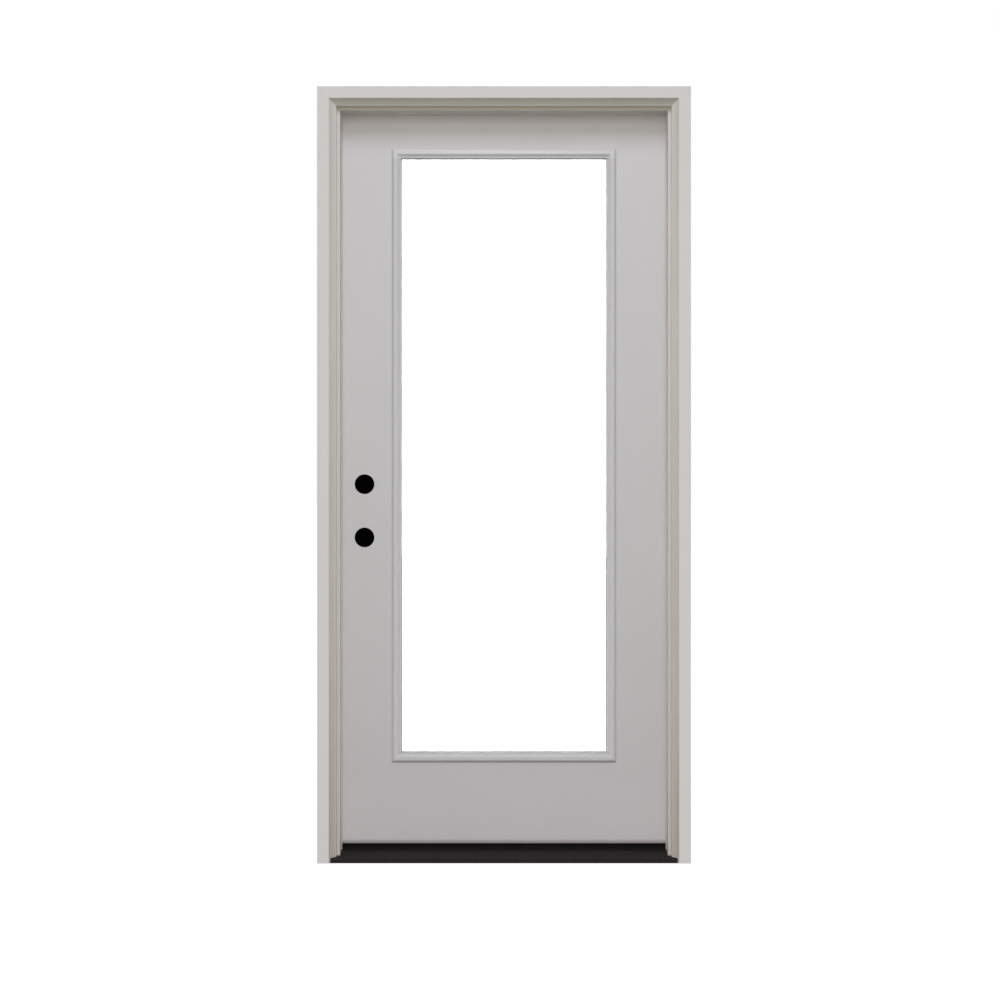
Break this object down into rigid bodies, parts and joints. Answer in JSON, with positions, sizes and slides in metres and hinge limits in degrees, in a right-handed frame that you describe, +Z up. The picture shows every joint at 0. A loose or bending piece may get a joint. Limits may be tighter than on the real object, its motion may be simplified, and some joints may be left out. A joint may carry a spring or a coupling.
{
  "type": "prehung fiberglass front door",
  "caption": "Inward-opening smooth fiberglass entry door with a large clear lite, double bored, prehung in a rabbeted frame with brickmould and a dark sill.",
  "frame": {"origin": "on the underside of the sill, midway between the side jambs and midway through their depth", "axes": "+Z up, +X to the right as seen from outside, +Y into the building"},
  "size_m": [1.0096, 0.1678, 2.0986],
  "materials": {
    "bronze_aluminium": "dark bronze anodised",
    "cap": "dark composite",
    "foam": "foam",
    "glass": "clear",
    "hinge_steel": "satin nickel",
    "jamb_primer": "satin primer on wood",
    "lite_plastic": "smooth moulded",
    "mould_primer": "smooth primed",
    "seal": "matte",
    "slab_primer": "smooth primed fiberglass",
    "spacer": "satin",
    "substrate": "black composite",
    "sweep": "matte",
    "wood": "raw"
  },
  "bodies": {
    "frame": {"head_brickmould": "mould_primer", "head_jamb": "jamb_primer", "head_weatherstrip": "seal", "hinge_brickmould": "mould_primer", "hinge_jamb": "jamb_primer", "hinge_weatherstrip": "seal", "latch_brickmould": "mould_primer", "latch_jamb": "jamb_primer", "latch_weatherstrip": "seal", "lower_hinge_frame_leaf": "hinge_steel", "lower_hinge_pin": "hinge_steel", "middle_hinge_frame_leaf": "hinge_steel", "middle_hinge_pin": "hinge_steel", "sill_deck": "bronze_aluminium", "sill_substrate": "substrate", "threshold_cap": "cap", "upper_hinge_frame_leaf": "hinge_steel", "upper_hinge_pin": "hinge_steel"},
    "door": {"bottom_rail": "wood", "door_sweep": "sweep", "exterior_lite_frame": "lite_plastic", "exterior_skin": "slab_primer", "foam_core": "foam", "glass_spacer": "spacer", "hinge_stile": "wood", "inner_glass": "glass", "interior_lite_frame": "lite_plastic", "interior_skin": "slab_primer", "lock_block": "wood", "lock_stile": "wood", "lower_hinge_door_leaf": "hinge_steel", "middle_hinge_door_leaf": "hinge_steel", "outer_glass": "glass", "top_rail": "wood", "upper_hinge_door_leaf": "hinge_steel"}
  },
  "joints": [
    {"name": "door_swing", "type": "hinge", "parent": "frame", "child": "door", "pos_m": [0.4547, 0.07065, 0], "axis": [0, 0, -1], "range_deg": [0, 180]}
  ]
}
